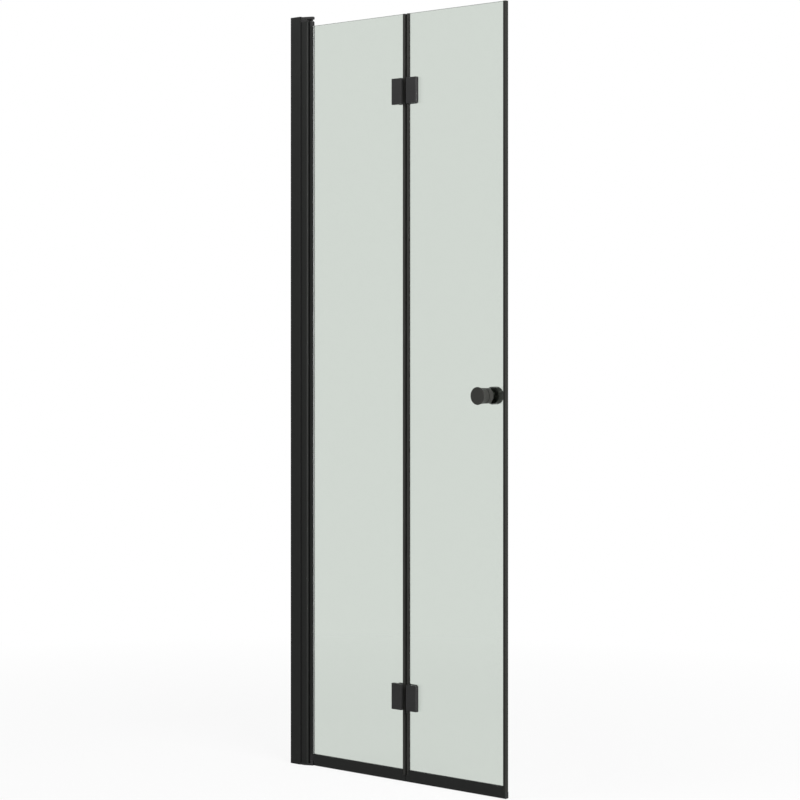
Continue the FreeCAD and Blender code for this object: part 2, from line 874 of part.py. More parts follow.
strip_half = half_glass + s.strip_leg_thick + s.pane_clearance / 2
strip_slot = half_glass + s.pane_clearance / 2


def make_fold_strip(label, side, rear_leg, fin):
    """A U over the pane's edge, with a long front leg; the wall leaf's one has the sealing fin."""
    body = new_body(label)
    section = new_sketch(body, "XY_Plane", s.glass_bottom)
    face = fold_x + s.strip_gap * side / 2
    web = face + s.strip_web * side
    front = face + s.strip_front_leg * side
    rear = face + (s.strip_web + rear_leg) * side
    tip = face - s.strip_fin_reach * side
    path = [
        (face, -strip_half),
        (front, -strip_half),
        (front, -strip_slot),
        (web, -strip_slot),
        (web, strip_slot),
        (rear, strip_slot),
        (rear, strip_half),
        (face, strip_half),
    ]
    if fin:
        path += [
            (face, s.strip_fin_rear),
            (tip, s.strip_fin_rear),
            (tip, s.strip_fin_front),
            (face, s.strip_fin_front),
        ]
    draw_loop(section, path)
    add_feature(body, "Pad", section, glass_top - s.glass_bottom)
    return body


node(make_fold_strip("wall_leaf_fold_strip", -1, s.strip_wall_rear_leg, True))
node(make_fold_strip("door_leaf_fold_strip", 1, s.strip_door_rear_leg, False))


# Bottom rails, sweep seals and the end cap

rail_slot = half_glass + s.pane_clearance
strip_cover = s.strip_gap / 2 + s.strip_front_leg + s.rail_notch_clearance
wall_rail_left = s.block_tongue_end
wall_rail_right = fold_x - s.rail_gap / 2
door_rail_left = fold_x + s.rail_gap / 2
door_rail_right = s.door_width - s.end_cap_thick


def make_rail(label, left, right, notches):
    body = new_body(label)
    section = new_sketch(body, "YZ_Plane", left)
    mouth, groove = s.rail_mouth_half, s.rail_groove_half
    corner = s.rail_corner
    low, high = s.rail_bottom + corner, s.rail_top - corner
    draw_loop(section, [
        (-mouth, s.rail_bottom),
        (-mouth, s.rail_mouth_top),
        (-groove, s.rail_mouth_top),
        (-groove, s.rail_groove_top),
        (groove, s.rail_groove_top),
        (groove, s.rail_mouth_top),
        (mouth, s.rail_mouth_top),
        (mouth, s.rail_bottom),
        (s.rail_half - corner, s.rail_bottom),
        Arc(s.rail_half, low, s.rail_half - corner, low, 1),
        (s.rail_half, high),
        Arc(s.rail_half - corner, s.rail_top, s.rail_half - corner, high, 1),
        (rail_slot, s.rail_top),
        (rail_slot, s.glass_bottom),
        (-rail_slot, s.glass_bottom),
        (-rail_slot, s.rail_top),
        (corner - s.rail_half, s.rail_top),
        Arc(-s.rail_half, high, corner - s.rail_half, high, 1),
        (-s.rail_half, low),
        Arc(corner - s.rail_half, s.rail_bottom, corner - s.rail_half, low, 1),
    ])
    draw_box(
        section, -s.rail_chamber_half, s.rail_chamber_bottom, s.rail_chamber_half, s.rail_chamber_top
    )
    add_feature(body, "Pad", section, right - left)
    cuts = new_sketch(body, "XZ_Plane", s.rail_half)
    for start, end in notches:
        draw_box(cuts, start, s.glass_bottom, end, s.rail_top)
    add_feature(body, "Pocket", cuts, s.rail_half * 2)
    return body


def make_sweep_seal(label, left, right):
    """A soft T in the rail's groove with a foot that wipes the tray."""
    body = new_body(label)
    section = new_sketch(body, "YZ_Plane", left)
    gap = s.seal_clearance
    head, neck = s.rail_groove_half - gap, s.rail_mouth_half - gap
    draw_loop(section, [
        (-s.seal_lip_half, s.seal_bottom),
        (s.seal_lip_half, s.seal_bottom),
        (s.seal_foot_half, s.seal_foot_top),
        (s.seal_foot_half, s.rail_bottom - gap),
        (neck, s.rail_bottom - gap),
        (neck, s.rail_mouth_top + gap),
        (head, s.rail_mouth_top + gap),
        (head, s.rail_groove_top - gap),
        (-head, s.rail_groove_top - gap),
        (-head, s.rail_mouth_top + gap),
        (-neck, s.rail_mouth_top + gap),
        (-neck, s.rail_bottom - gap),
        (-s.seal_foot_half, s.rail_bottom - gap),
        (-s.seal_foot_half, s.seal_foot_top),
    ])
    add_feature(body, "Pad", section, right - left)
    return body


def make_end_cap():
    body = new_body("rail_end_cap")
    plate = new_sketch(body, "YZ_Plane", door_rail_right)
    draw_box(plate, -s.rail_half, s.rail_bottom, s.rail_half, s.glass_bottom - s.pane_clearance)
    add_feature(body, "Pad", plate, s.end_cap_thick)
    plug = new_sketch(body, "YZ_Plane", door_rail_right)
    gap = s.end_cap_clearance
    half = s.rail_chamber_half - gap
    draw_box(plug, -half, s.rail_chamber_bottom + gap, half, s.rail_chamber_top - gap)
    add_feature(body, "Pad", plug, s.end_cap_plug, True)
    return body


fold_notch_wall = (fold_x - strip_cover, wall_rail_right)
fold_notch_door = (door_rail_left, fold_x + strip_cover)
closing_notch = (closing_left - s.rail_notch_clearance, door_rail_right)
node(make_rail("wall_leaf_bottom_rail", wall_rail_left, wall_rail_right, [fold_notch_wall]))
node(make_rail("door_leaf_bottom_rail", door_rail_left, door_rail_right, [fold_notch_door, closing_notch]))
node(make_sweep_seal("wall_leaf_sweep_seal", wall_rail_left, wall_rail_right))
node(make_sweep_seal("door_leaf_sweep_seal", door_rail_left, door_rail_right))
node(make_end_cap())


# Closing strip with its magnet

def make_closing_strip():
    body = new_body("closing_strip")
    section = new_sketch(body, "XY_Plane", s.glass_bottom)
    slot_end = closing_left + s.closing_slot_depth
    half, slot = s.closing_strip_half, s.closing_slot_half
    draw_loop(section, [
        (closing_left, -half),
        (s.door_width, -half),
        (s.door_width, half),
        (closing_left, half),
        (closing_left, slot),
        (slot_end, slot),
        (slot_end, -slot),
        (closing_left, -slot),
    ])
    start = closing_left + s.magnet_start
    draw_box(section, start, -s.magnet_half, start + s.magnet_thick, s.magnet_half)
    add_feature(body, "Pad", section, glass_top - s.glass_bottom)

    def outer_corner(box):
        upright = box.ZLength > 100 and near(box.YMin, box.YMax)
        return upright and near(abs(box.YMin), half) and near(box.XMin, s.door_width)

    round_edges(body, s.closing_strip_round, outer_corner)
    return body


def make_magnet_strip():
    body = new_body("magnet_strip")
    section = new_sketch(body, "XY_Plane", s.glass_bottom)
    gap = s.magnet_clearance
    start = closing_left + s.magnet_start
    half = s.magnet_half - gap
    draw_box(section, start + gap, -half, start + s.magnet_thick - gap, half)
    add_feature(body, "Pad", section, glass_top - s.glass_bottom)
    return body


node(make_closing_strip())
node(make_magnet_strip())


# Fold hinges

front_gasket_face = half_glass + s.hinge_gasket_thick
rear_face = front_gasket_face + s.rear_plate_thick
axis_y = s.fold_axis_back
knuckle_half = s.knuckle_middle / 2


def screw_heights(middle):
    return [middle - s.hinge_screw_pitch / 2, middle + s.hinge_screw_pitch / 2]


def draw_screw_holes(sketch, side, middle, radius):
    for height in screw_heights(middle):
        draw_circle(sketch, fold_x + s.hinge_screw_from_fold * side, height, radius)


def make_front_plate(label, side, middle):
    """A thick plate with a rounded outer edge and blind threads for the screws."""
    body = new_body(label)
    inner = fold_x + s.hinge_slot * side / 2
    outer = inner + s.hinge_plate_width * side
    bottom, top = middle - s.hinge_height / 2, middle + s.hinge_height / 2
    face = new_sketch(body, "XZ_Plane", front_gasket_face)
    draw_box(face, inner, bottom, outer, top)
    add_feature(body, "Pad", face, s.hinge_plate_thick)
    threads = new_sketch(body, "XZ_Plane", front_gasket_face)
    draw_screw_holes(threads, side, middle, s.hinge_thread_hole)
    add_feature(body, "Pocket", threads, s.hinge_thread_depth, True)
    front = -front_gasket_face.value - s.hinge_plate_thick.value

    def on_front(box):
        return near(box.YMin, front) and near(box.YMax, front)

    def outer_front(box):
        return on_front(box) and near(box.XMin, outer) and near(box.XMax, outer)

    def other_front(box):
        return on_front(box) and not near(box.XMin, outer)

    round_edges(body, s.hinge_outer_round, outer_front)
    round_edges(body, s.hinge_edge_round, other_front)
    return body


def make_rear_plate(label, side, middle, outer_knuckles):
    """A rear plate with its knuckles: two outer ones at the wall leaf, one between them at the door leaf."""
    body = new_body(label)
    bottom = middle - s.hinge_height / 2
    section = new_sketch(body, "XY_Plane", bottom)
    start = fold_x + s.rear_plate_start * side
    end = fold_x + s.rear_plate_end * side
    low = s.knuckle_web_bottom
    drop, rise = axis_y - low, axis_y - rear_face
    radius = s.knuckle_radius
    low_x = fold_x + (radius * radius - drop * drop).root() * side
    high_x = fold_x + (radius * radius - rise * rise).root() * side
    draw_loop(section, [
        (end, front_gasket_face),
        (end, rear_face),
        (high_x, rear_face),
        Arc(low_x, low, fold_x, axis_y, side),
        (start, low),
        (start, front_gasket_face),
    ])
    add_feature(body, "Pad", section, s.hinge_height)

    relief = fold_x + s.knuckle_relief * side
    beyond = fold_x - s.knuckle_relief * side
    reach = axis_y + s.knuckle_relief
    if outer_knuckles:
        half = knuckle_half + s.knuckle_gap
        spans = [(middle - half, half * 2)]
    else:
        rest = s.hinge_height / 2 - knuckle_half
        spans = [(bottom, rest), (middle + knuckle_half, rest)]
    for low_end, length in spans:
        gap = new_sketch(body, "XY_Plane", low_end + length)
        draw_box(gap, relief, low - 1, beyond, reach)
        add_feature(body, "Pocket", gap, length)

    bore = new_sketch(body, "XY_Plane", bottom + s.hinge_height)
    draw_circle(bore, fold_x, axis_y, s.knuckle_bore_radius if outer_knuckles else s.knuckle_bush_seat)
    add_feature(body, "Pocket", bore, s.hinge_height)
    holes = new_sketch(body, "XZ_Plane", -front_gasket_face)
    draw_screw_holes(holes, side, middle, s.hinge_shank_hole)
    add_feature(body, "Pocket", holes, s.rear_plate_thick)
    sinks = new_sketch(body, "XZ_Plane", s.hinge_head_sink - rear_face)
    draw_screw_holes(sinks, side, middle, s.hinge_head_sink_radius)
    add_feature(body, "Pocket", sinks, s.hinge_head_sink)
    return body


def make_gasket(label, side, middle, near_end, far_end, inset, back):
    """A thin pad between a plate and the pane, on the front or at the back."""
    body = new_body(label)
    face = new_sketch(body, "XZ_Plane", -front_gasket_face if back else half_glass)
    bottom = middle - s.hinge_height / 2 + inset
    top = middle + s.hinge_height / 2 - inset
    draw_box(face, fold_x + near_end * side, bottom, fold_x + far_end * side, top)
    draw_screw_holes(face, side, middle, s.hinge_shank_hole)
    add_feature(body, "Pad", face, s.hinge_gasket_thick)
    return body


hinge_screw = [
    (0, -rear_face + s.hinge_head_sink - s.hinge_shank_end),
    (s.hinge_shank_radius, -rear_face + s.hinge_head_sink - s.hinge_shank_end),
    (s.hinge_shank_radius, 0),
    (s.hinge_head_radius, 0),
    (s.hinge_head_radius, s.hinge_head_height),
    (s.hinge_socket_radius, s.hinge_head_height),
    (s.hinge_socket_radius, s.hinge_head_height - s.hinge_socket_depth),
    (0, s.hinge_head_height - s.hinge_socket_depth),
]
sleeve = ring_profile(s.sleeve_bore, s.sleeve_radius, 0, s.sleeve_length)
front_far = s.hinge_slot / 2 + s.hinge_plate_width - s.hinge_gasket_inset
rear_near = s.rear_plate_start + s.rear_gasket_inset
rear_far = s.rear_plate_end - s.rear_gasket_inset
hinge_bushes = []
for leaf, side in (("wall", -1), ("door", 1)):
    pads, sleeves, screws = [], [], []
    for level, middle in hinge_heights.items():
        name = f"{level}_hinge_{leaf}"
        node(make_front_plate(f"{name}_front_plate", side, middle))
        node(make_rear_plate(f"{name}_rear_plate", side, middle, leaf == "wall"))
        pads.append(make_gasket(
            f"{name}_front_gasket", side, middle, s.hinge_gasket_start, front_far, s.hinge_gasket_inset, False
        ))
        pads.append(make_gasket(
            f"{name}_rear_gasket", side, middle, rear_near, rear_far, s.rear_gasket_inset, True
        ))
        for number, height in enumerate(screw_heights(middle), start=1):
            x = fold_x + s.hinge_screw_from_fold * side
            sleeves.append(turned(f"{name}_sleeve_{number}", (x, s.sleeve_length / 2, height), TO_FRONT, sleeve))
            seat = rear_face - s.hinge_head_sink
            screws.append(turned(f"{name}_screw_{number}", (x, seat, height), TO_REAR, hinge_screw))
    node(group(f"{leaf}_hinge_gaskets", pads))
    node(group(f"{leaf}_hinge_sleeves", sleeves))
    node(group(f"{leaf}_hinge_screws", screws))

hinge_pin = pin_profile(
    s.hinge_pin_radius, s.hinge_height, s.hinge_pin_head_radius, s.hinge_pin_head_height
)
knuckle_bush = bush_profile(
    s.knuckle_bore_radius,
    s.knuckle_bush_radius,
    s.knuckle_bush_length,
    s.knuckle_bush_flange_radius,
    s.knuckle_bush_flange_height,
)
for level, middle in hinge_heights.items():
    top = middle + s.hinge_height / 2
    node(turned(f"{level}_hinge_pin", (fold_x, axis_y, top), UPWARD, hinge_pin))
    above, below = middle + knuckle_half, middle - knuckle_half
    hinge_bushes.append(turned(f"{level}_bush_top", (fold_x, axis_y, above), UPWARD, knuckle_bush))
    hinge_bushes.append(turned(f"{level}_bush_bottom", (fold_x, axis_y, below), DOWNWARD, knuckle_bush))
node(group("hinge_bushes", hinge_bushes))


# Knobs, one on each side of the door leaf

knob_seat = half_glass + s.knob_washer_thick
face_round = s.knob_face_round


def knob_profile(length, lower):
    """From the seat outward: the foot, the flank and the rounded face; the thread is open at the seat."""
    face = s.knob_face_radius
    return [(s.knob_thread_radius, 0)] + lower + [
        Arc(face - face_round, length, face - face_round, length - face_round, 1),
        (0, length),
        (0, s.knob_thread_depth),
        (s.knob_thread_radius, s.knob_thread_depth),
    ]


# the front knob stands on a neck and a collar, and its flank is a hollow curve up to the face
flare = s.knob_face_radius - s.knob_waist_radius
flank = s.knob_front_length - face_round - s.knob_groove_end
flank_radius = (flare * flare + flank * flank) / (flare * 2)
front_lower = [
    (s.knob_neck_radius, 0),
    (s.knob_neck_radius, s.knob_neck_end),
    (s.knob_collar_radius, s.knob_neck_end),
    (s.knob_collar_radius, s.knob_groove_start),
    (s.knob_groove_radius, s.knob_groove_start),
    (s.knob_groove_radius, s.knob_groove_end),
    (s.knob_waist_radius, s.knob_groove_end),
    Arc(
        s.knob_face_radius,
        s.knob_front_length - face_round,
        s.knob_waist_radius + flank_radius,
        s.knob_groove_end,
        -1,
    ),
]
rim = s.knob_face_radius - face_round
rear_lower = [
    (s.knob_rear_neck_radius, 0),
    (s.knob_rear_neck_radius, s.knob_rear_neck),
    (rim, s.knob_rear_neck),
    Arc(s.knob_face_radius, s.knob_rear_neck + face_round, rim, s.knob_rear_neck + face_round, 1),
    (s.knob_face_radius, s.knob_rear_length - face_round),
]
knob_z = s.knob_height
node(turned(
    "front_knob", (knob_x, -knob_seat, knob_z), TO_FRONT, knob_profile(s.knob_front_length, front_lower)
))
node(turned(
    "rear_knob", (knob_x, knob_seat, knob_z), TO_REAR, knob_profile(s.knob_rear_length, rear_lower)
))
stud = [
    (0, -s.knob_stud_reach),
    (s.knob_stud_radius, -s.knob_stud_reach),
    (s.knob_stud_radius, s.knob_stud_reach),
    (0, s.knob_stud_reach),
]
node(turned("knob_stud", (knob_x, 0, knob_z), TO_REAR, stud))
knob_washer = ring_profile(s.knob_washer_bore, s.knob_washer_radius, 0, s.knob_washer_thick)
node(group("knob_washers", [
    turned("front_knob_washer", (knob_x, -half_glass, knob_z), TO_FRONT, knob_washer),
    turned("rear_knob_washer", (knob_x, half_glass, knob_z), TO_REAR, knob_washer),
]))
knob_sleeve = ring_profile(s.knob_sleeve_bore, s.sleeve_radius, 0, s.sleeve_length)
node(turned("knob_sleeve", (knob_x, s.sleeve_length / 2, knob_z), TO_FRONT, knob_sleeve))


# Checks, then one file for each node

doc.recompute()
for item in doc.Objects:
    if "Invalid" in item.State or "Error" in item.State:
        raise RuntimeError(f"{item.Label} did not recompute: {item.State}")
for item in nodes:
    if item.Shape.isNull() or not item.Shape.isValid() or not item.Shape.Solids:
        raise RuntimeError(f"{item.Label} has no valid solid")

os.makedirs("parts", exist_ok=True)
for item in nodes:
    item.Shape.exportStep(os.path.join("parts", item.Label + ".step"))
print(len(nodes), "nodes")
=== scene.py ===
"""Looks of a folding shower door: finishes for its CAD pieces, a plain studio and the camera."""

import math

import bmesh
import bpy
from bpy.props import FloatProperty, FloatVectorProperty, PointerProperty
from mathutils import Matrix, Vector


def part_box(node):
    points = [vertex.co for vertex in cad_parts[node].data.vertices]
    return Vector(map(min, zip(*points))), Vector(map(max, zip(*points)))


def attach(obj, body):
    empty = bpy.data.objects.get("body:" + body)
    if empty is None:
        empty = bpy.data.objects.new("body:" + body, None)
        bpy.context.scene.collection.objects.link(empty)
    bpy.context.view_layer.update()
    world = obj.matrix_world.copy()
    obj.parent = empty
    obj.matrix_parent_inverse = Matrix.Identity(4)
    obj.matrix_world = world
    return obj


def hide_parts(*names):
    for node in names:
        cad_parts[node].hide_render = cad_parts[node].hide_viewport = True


bl_info = {
    "name": "Folding Shower Door Looks",
    "version": (1, 0, 0),
    "blender": (4, 5, 0),
    "location": "View3D > Sidebar > Shower Door",
    "description": "Finishes, studio and camera for a black and clear glass folding shower door",
    "category": "Object",
}

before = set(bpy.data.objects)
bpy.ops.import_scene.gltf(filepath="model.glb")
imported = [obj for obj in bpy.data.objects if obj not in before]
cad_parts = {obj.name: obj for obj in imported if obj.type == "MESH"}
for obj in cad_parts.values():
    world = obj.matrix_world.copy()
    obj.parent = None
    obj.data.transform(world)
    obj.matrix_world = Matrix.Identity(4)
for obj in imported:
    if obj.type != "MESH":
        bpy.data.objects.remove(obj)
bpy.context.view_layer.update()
MM = 0.001

# Black coats: wide clouds of tone, how far the tone strays, and how strongly the grain and the gloss show
CLOUD_WIDTH = 60 * MM
TONE_SPREAD = 0.14
GRAIN_STRENGTH = 0.4
COAT_SPECULAR = 0.1

# Modelled pieces: how near a point counts as on the spot, and how their edges are rounded
NEAR = 0.01 * MM
# The next two round the rubber bead that paints the shadow in the channel's seam.
NOSE_SHARE = 0.9
SHADOW_BEAD_SMOOTHING = math.radians(40)
SCREW_SIDES = 48
SOCKET_SIDES = 6
RIM_BEVEL = 0.35 * MM
SCREW_SMOOTHING = math.radians(35)
ALONG_Y = (math.radians(90), 0, 0)

# Softboxes: width and height, place, and the point that each faces, in metres
KEY_SIZE = (2.4, 3.2)
KEY_PLACE = (3.8, -1.1, 1.7)
KEY_TARGET = (0.4, 0, 1.1)
OVERHEAD_SIZE = (1.6, 1.6)
OVERHEAD_PLACE = (-0.6, -1.3, 3.1)
OVERHEAD_TARGET = (0.2, 0, 1.4)

# Room: its brighter side and that side's strength, and the slopes between which mirrored white fades
BRIGHT_SIDE = (0.8, 0.6, 0)
BRIGHT_LIGHT = 0.8
HORIZON_LOW = 0.15
HORIZON_HIGH = 0.45

# Floor: its gap under the door, and the plain white in it, less near the door so that the shadow shows
FLOOR_GAP = 0.5 * MM
SHADOW_NEAR = 0.8
SHADOW_FAR = 2.5
WHITE_NEAR = 0.88

SENSOR_WIDTH = 36


def linear(hex_colour):
    """Linear RGB of an sRGB hex colour."""
    channels = [int(hex_colour[i:i + 2], 16) / 255 for i in (1, 3, 5)]
    return tuple(c / 12.92 if c <= 0.04045 else ((c + 0.055) / 1.055) ** 2.4 for c in channels)


def colour_property(name, description, hex_colour):
    """A colour that a user can change."""
    return FloatVectorProperty(
        name=name, description=description, subtype="COLOR", size=3, min=0, max=1,
        default=linear(hex_colour),
    )


def length_property(name, description, default, smallest):
    """A length that a user can change, in metres."""
    return FloatProperty(
        name=name, description=description, default=default, min=smallest, unit="LENGTH"
    )


# Settings that a user would change

class ShowerDoorFinishes(bpy.types.PropertyGroup):
    """Colours and small sizes of the door's finishes."""

    coat: colour_property("Powder Coat", "Matt black coat on the aluminium profiles", "#181918")
    zinc: colour_property("Hinge Coat", "Satin black coat on the cast hinge plates", "#262626")
    knob: colour_property("Knob Coat", "Satin black coat on the turned knobs", "#2c2c2a")
    vinyl: colour_property("Black Vinyl", "Extruded strips on the edges of the glass", "#2a2a28")
    closing_vinyl: colour_property("Closing Vinyl", "Rigid strip that holds the magnet", "#1f1f1d")
    plastic: colour_property("Black Plastic", "Moulded caps and pivot blocks", "#202020")
    # Near black: the real black of the seals and pads, made darker still so that the bead along the
    # channel's lip paints a deeper shadow in the seam.
    rubber: colour_property("Black Rubber", "Seals and pads", "#090909")
    magnet: colour_property("Magnet Rubber", "Flexible magnet strip", "#181615")
    acetal: colour_property("Black Acetal", "Bearing plastic of the bushes and sleeves", "#1d1d1e")
    steel: colour_property("Stainless Steel", "Screws, pins and the knob's stud", "#b9b8b4")
    glass: colour_property("Glass Tint", "What the pane lets through", "#ced5ce")
    gasket: colour_property("Clear Vinyl", "Soft clear gaskets beside the pivot bead", "#cfd4d0")
    # The bead that these two size is painted shade: a dark strip for the shadow in the seam between the
    # channel and the adjusting profile, shaped as a sealing bead.
    seal_width: length_property(
        "Seal Width", "Reach of the rubber bead along the channel's lip", 3.4 * MM, 1 * MM
    )
    seal_thickness: length_property(
        "Seal Thickness", "Height of that bead on the profile", 1.3 * MM, 0.5 * MM
    )
    screw_pitch: length_property(
        "Screw Pitch", "Height between the two screws of a hinge plate", 36 * MM, 10 * MM
    )
    screw_head: length_property("Screw Head", "Height of a hinge screw's head", 2.4 * MM, 1 * MM)
    screw_shank: length_property("Screw Shank", "Diameter of a hinge screw's shank", 5 * MM, 2 * MM)
    screw_socket: length_property(
        "Screw Socket", "Width across the flats of the hexagon socket", 3 * MM, 1 * MM
    )
    socket_depth: length_property("Socket Depth", "Depth of the hexagon socket", 1.5 * MM, 0.5 * MM)
    coat_grain: length_property("Coat Grain", "Width of the powder coat's orange peel", 0.9 * MM, 0.1 * MM)
    roller_wave: length_property(
        "Roller Wave", "Pitch of the faint waves that toughening leaves in glass", 280 * MM, 10 * MM
    )


class ShowerDoorStudio(bpy.types.PropertyGroup):
    """Floor, lights and camera."""

    floor_colour: colour_property("Background", "Plain background, also shown by the floor", "#ffffff")
    paper: colour_property("Paper", "Pale paper under the door, which takes its shadow", "#cbcbcb")
    floor_size: length_property("Floor Size", "Side of the square floor", 400, 1)
    room_light: FloatProperty(
        name="Room Light", description="Strength of the studio's light from its dimmer side",
        default=0.1, min=0,
    )
    key: FloatProperty(
        name="Key Light", description="Power of the softbox at the closing side",
        default=265, min=0, unit="POWER",
    )
    overhead: FloatProperty(
        name="Overhead Light", description="Power of the softbox above the door",
        default=45, min=0, unit="POWER",
    )
    lens: FloatProperty(
        name="Lens", description="Focal length on a 36 mm sensor, in millimetres", default=101.2, min=10
    )
    azimuth: FloatProperty(
        name="Azimuth", description="Turn of the camera to the closing side",
        default=math.radians(42.1), unit="ROTATION",
    )
    distance: length_property("Distance", "From the camera to the upright that it faces", 5.504, 0.1)
    eye_level: length_property("Eye Level", "Height of the camera", 1.069, 0)
    aim: length_property("Aim", "Distance from the wall of the upright that the camera faces", 0.362, 0)
    rise: FloatProperty(
        name="Vertical Shift", description="Lens shift that keeps the uprights parallel",
        default=-0.0703,
    )


# Materials

def new_material(name):
    """A new material, its node tree and its Principled shader."""
    material = bpy.data.materials.new(name)
    material.use_nodes = True
    tree = material.node_tree
    return material, tree, tree.nodes["Principled BSDF"]


def add_node(tree, kind, settings, *sockets, **links):
    """A node with its settings; sockets join its inputs in order, and links join them by name."""
    node = tree.nodes.new(kind)
    for name, value in settings.items():
        if name in node.inputs:
            node.inputs[name].default_value = value
        else:
            setattr(node, name, value)
    for number, socket in enumerate(sockets):
        tree.links.new(socket, node.inputs[number])
    for name, socket in links.items():
        tree.links.new(socket, node.inputs[name.replace("_", " ")])
    return node


def set_shader(shader, **values):
    """Sets what is the same all over the surface on the shader's own sockets."""
    for name, value in values.items():
        shader.inputs[name.replace("_", " ")].default_value = value


def grain_scale(width):
    """Noise scale whose blotches are about as wide as given, in metres."""
    return 1 / width


def wave_scale(pitch):
    """Wave scale whose bands repeat at a pitch in metres: at scale 1 they repeat every pi / 10 m."""
    return math.pi / (10 * pitch)


def coated(name, colour, roughness, spread, grain, depth):
    """A black coat: an even colour with a little tone, soft gloss that varies, and a fine grain."""
    material, tree, shader = new_material(name)
    place = add_node(tree, "ShaderNodeTexCoord", {}).outputs["Object"]
    cloud = add_node(
        tree, "ShaderNodeTexNoise", {"Scale": grain_scale(CLOUD_WIDTH), "Detail": 3.0}, Vector=place
    )
    tone = add_node(tree, "ShaderNodeValToRGB", {}, Fac=cloud.outputs["Fac"])
    tone.color_ramp.elements[0].color = (*[c * (1 - TONE_SPREAD) for c in colour], 1)
    tone.color_ramp.elements[1].color = (*[c * (1 + TONE_SPREAD) for c in colour], 1)
    tree.links.new(tone.outputs["Color"], shader.inputs["Base Color"])
    gloss = add_node(
        tree, "ShaderNodeMapRange", {"To Min": roughness - spread, "To Max": roughness + spread},
        Value=cloud.outputs["Fac"],
    )
    tree.links.new(gloss.outputs["Result"], shader.inputs["Roughness"])
    peel = add_node(
        tree, "ShaderNodeTexNoise", {"Scale": grain_scale(grain), "Detail": 2.0}, Vector=place
    )
    bump = add_node(
        tree, "ShaderNodeBump", {"Strength": GRAIN_STRENGTH, "Distance": depth}, Height=peel.outputs["Fac"]
    )
    tree.links.new(bump.outputs["Normal"], shader.inputs["Normal"])
    set_shader(shader, Specular_IOR_Level=COAT_SPECULAR)
    return material


def powder_coated_aluminium(looks):
    # Baked polyester powder: matt, with a fine orange peel, drawn coarser than real so that it shows.
    return coated(
        "powder_coated_aluminium", looks.coat,
        roughness=0.46, spread=0.05, grain=looks.coat_grain, depth=0.2 * MM,
    )


def satin_coated_zinc(looks):
    # Die-cast zinc with a sprayed satin coat: smoother than the powder coat, with a soft highlight.
    return coated(
        "satin_coated_zinc", looks.zinc, roughness=0.40, spread=0.04, grain=1.4 * MM, depth=0.1 * MM
    )


def satin_coated_brass(looks):
    # Turned brass under a satin coat: the smoothest of the black pieces.
    return coated(
        "satin_coated_brass", looks.knob, roughness=0.36, spread=0.03, grain=1.6 * MM, depth=0.05 * MM
    )


def extruded_black_vinyl(looks):
    # Flexible PVC straight from the die: an even low sheen.
    return coated(
        "extruded_black_vinyl", looks.vinyl, roughness=0.48, spread=0.04, grain=2.0 * MM, depth=0.06 * MM
    )


def rigid_black_vinyl(looks):
    # Rigid PVC, filled with more carbon black: darker and duller than the soft strips.
    return coated(
        "rigid_black_vinyl", looks.closing_vinyl,
        roughness=0.55, spread=0.04, grain=2.0 * MM, depth=0.06 * MM,
    )


def moulded_black_plastic(looks):
    # Injection-moulded ABS with a spark-eroded texture: dull and finely rough.
    return coated(
        "moulded_black_plastic", looks.plastic, roughness=0.52, spread=0.04, grain=0.8 * MM, depth=0.2 * MM
    )


def soft_black_rubber(looks):
    # EPDM: dull and slightly dusty; on the bead along the channel's lip it paints the shadow in the seam.
    return coated(
        "soft_black_rubber", looks.rubber, roughness=0.78, spread=0.06, grain=1.2 * MM, depth=0.1 * MM
    )


def magnet_rubber(looks):
    # Ferrite-filled rubber: dark brown-grey and matt.
    return coated(
        "magnet_rubber", looks.magnet, roughness=0.7, spread=0.05, grain=1.0 * MM, depth=0.1 * MM
    )


def black_acetal(looks):
    # Carbon-filled bearing plastic: near black with a waxy sheen.
    material, tree, shader = new_material("black_acetal")
    place = add_node(tree, "ShaderNodeTexCoord", {}).outputs["Object"]
    cloud = add_node(
        tree, "ShaderNodeTexNoise", {"Scale": grain_scale(4 * MM), "Detail": 2.0}, Vector=place
    )
    tone = add_node(tree, "ShaderNodeValToRGB", {}, Fac=cloud.outputs["Fac"])
    tone.color_ramp.elements[0].color = (*[c * 0.94 for c in looks.acetal], 1)
    tone.color_ramp.elements[1].color = (*looks.acetal, 1)
    tree.links.new(tone.outputs["Color"], shader.inputs["Base Color"])
    set_shader(shader, Roughness=0.4, IOR=1.48)
    return material


def stainless_steel(looks):
    # Turned A2 steel: grey metal with fine marks of tooling, drawn half a millimetre wide to show.
    material, tree, shader = new_material("stainless_steel")
    place = add_node(tree, "ShaderNodeTexCoord", {}).outputs["Object"]
    marks = add_node(
        tree, "ShaderNodeTexNoise", {"Scale": grain_scale(0.5 * MM), "Detail": 2.0}, Vector=place
    )
    gloss = add_node(
        tree, "ShaderNodeMapRange", {"To Min": 0.22, "To Max": 0.38}, Value=marks.outputs["Fac"]
    )
    tree.links.new(gloss.outputs["Result"], shader.inputs["Roughness"])
    set_shader(shader, Base_Color=(*looks.steel, 1), Metallic=1.0)
    return material


def toughened_float_glass(looks):
    # Clear float glass, toughened: a light green tint, and faint roller waves along the pane.
    material, tree, shader = new_material("toughened_float_glass")
    set_shader(shader, Base_Color=(*looks.glass, 1), Transmission_Weight=1.0, Roughness=0.0, IOR=1.52)
    place = add_node(tree, "ShaderNodeTexCoord", {}).outputs["Object"]
    waves = add_node(
        tree, "ShaderNodeTexWave",
        {"bands_direction": "Z", "Scale": wave_scale(looks.roller_wave), "Distortion": 1.5, "Detail": 1.0},
        Vector=place,
    )
    bump = add_node(
        tree, "ShaderNodeBump", {"Strength": 0.15, "Distance": 0.05 * MM}, Height=waves.outputs["Fac"]
    )
    tree.links.new(bump.outputs["Normal"], shader.inputs["Normal"])
    return material


